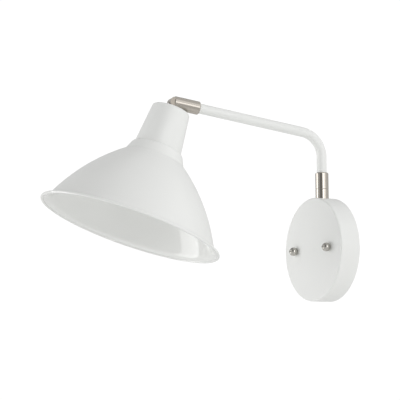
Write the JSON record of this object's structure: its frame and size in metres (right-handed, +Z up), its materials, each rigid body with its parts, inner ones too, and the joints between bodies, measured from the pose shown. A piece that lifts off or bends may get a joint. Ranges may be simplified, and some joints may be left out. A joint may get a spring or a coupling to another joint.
{
  "type": "swing arm wall lamp",
  "caption": "Wall lamp with a round canopy, a swinging bent-tube arm on a vertical swivel, a tilting knuckle and a flared bell shade over a screw-in bulb holder.",
  "frame": {"origin": "centre of the canopy's open back and of the box screw pattern, on the wall", "axes": "+Z up, +Y into the wall; the lamp stands out along -Y"},
  "size_m": [0.2174, 0.3549, 0.2389],
  "materials": {
    "white_paint": "satin white powder coat",
    "satin_nickel": "satin nickel plate",
    "polished_nickel": "polished nickel plate",
    "zinc_steel": "zinc-plated steel",
    "brass": "plain brass",
    "green_screw": "green dyed zinc",
    "green_lead": "insulated wire",
    "nylon": "moulded nylon",
    "holder_plastic": "moulded heat-proof plastic",
    "lead_white": "insulated wire",
    "connector_plastic": "ribbed moulded plastic"
  },
  "bodies": {
    "canopy": {"canopy_cover": "white_paint", "mounting_crossbar": "zinc_steel", "canopy_studs": "zinc_steel", "stud_lock_nuts": "zinc_steel", "canopy_ball_nuts": "polished_nickel", "ground_screw": "green_screw", "swivel_base": "satin_nickel", "swivel_seam_washer": "nylon", "swivel_stop_pin": "zinc_steel", "swivel_spindle": "zinc_steel", "spindle_saddle_washer": "zinc_steel", "spindle_lock_nut": "zinc_steel", "canopy_leads": "lead_white", "wire_connectors": "connector_plastic", "ground_lead": "green_lead"},
    "arm": {"swivel_sleeve": "satin_nickel", "swivel_thrust_washer": "nylon", "sleeve_set_screw": "zinc_steel", "arm_tube": "white_paint", "arm_leads": "lead_white", "knuckle_barrel": "satin_nickel", "barrel_set_screw": "zinc_steel", "knuckle_screw": "satin_nickel", "knuckle_friction_washers": "nylon"},
    "shade": {"knuckle_tongue": "satin_nickel", "stem_tooth_washer": "zinc_steel", "stem_lock_nut": "zinc_steel", "neck_cup": "white_paint", "shade_bell": "white_paint", "holder_cap": "holder_plastic", "holder_body": "holder_plastic", "holder_screw_shell": "brass", "holder_centre_contact": "brass", "holder_terminal_screws": "brass", "holder_leads": "lead_white"}
  },
  "joints": [
    {"name": "arm_swing", "type": "hinge", "parent": "canopy", "child": "arm", "pos_m": [0, -0.011, 0.09], "axis": [0, 0, 1], "range_deg": [-81.7, 98.3]},
    {"name": "shade_tilt", "type": "hinge", "parent": "arm", "child": "shade", "pos_m": [-0.02743, -0.19904, 0.1691], "axis": [-0.9895, 0.1444, 0], "range_deg": [-10.5, 79.3]}
  ]
}
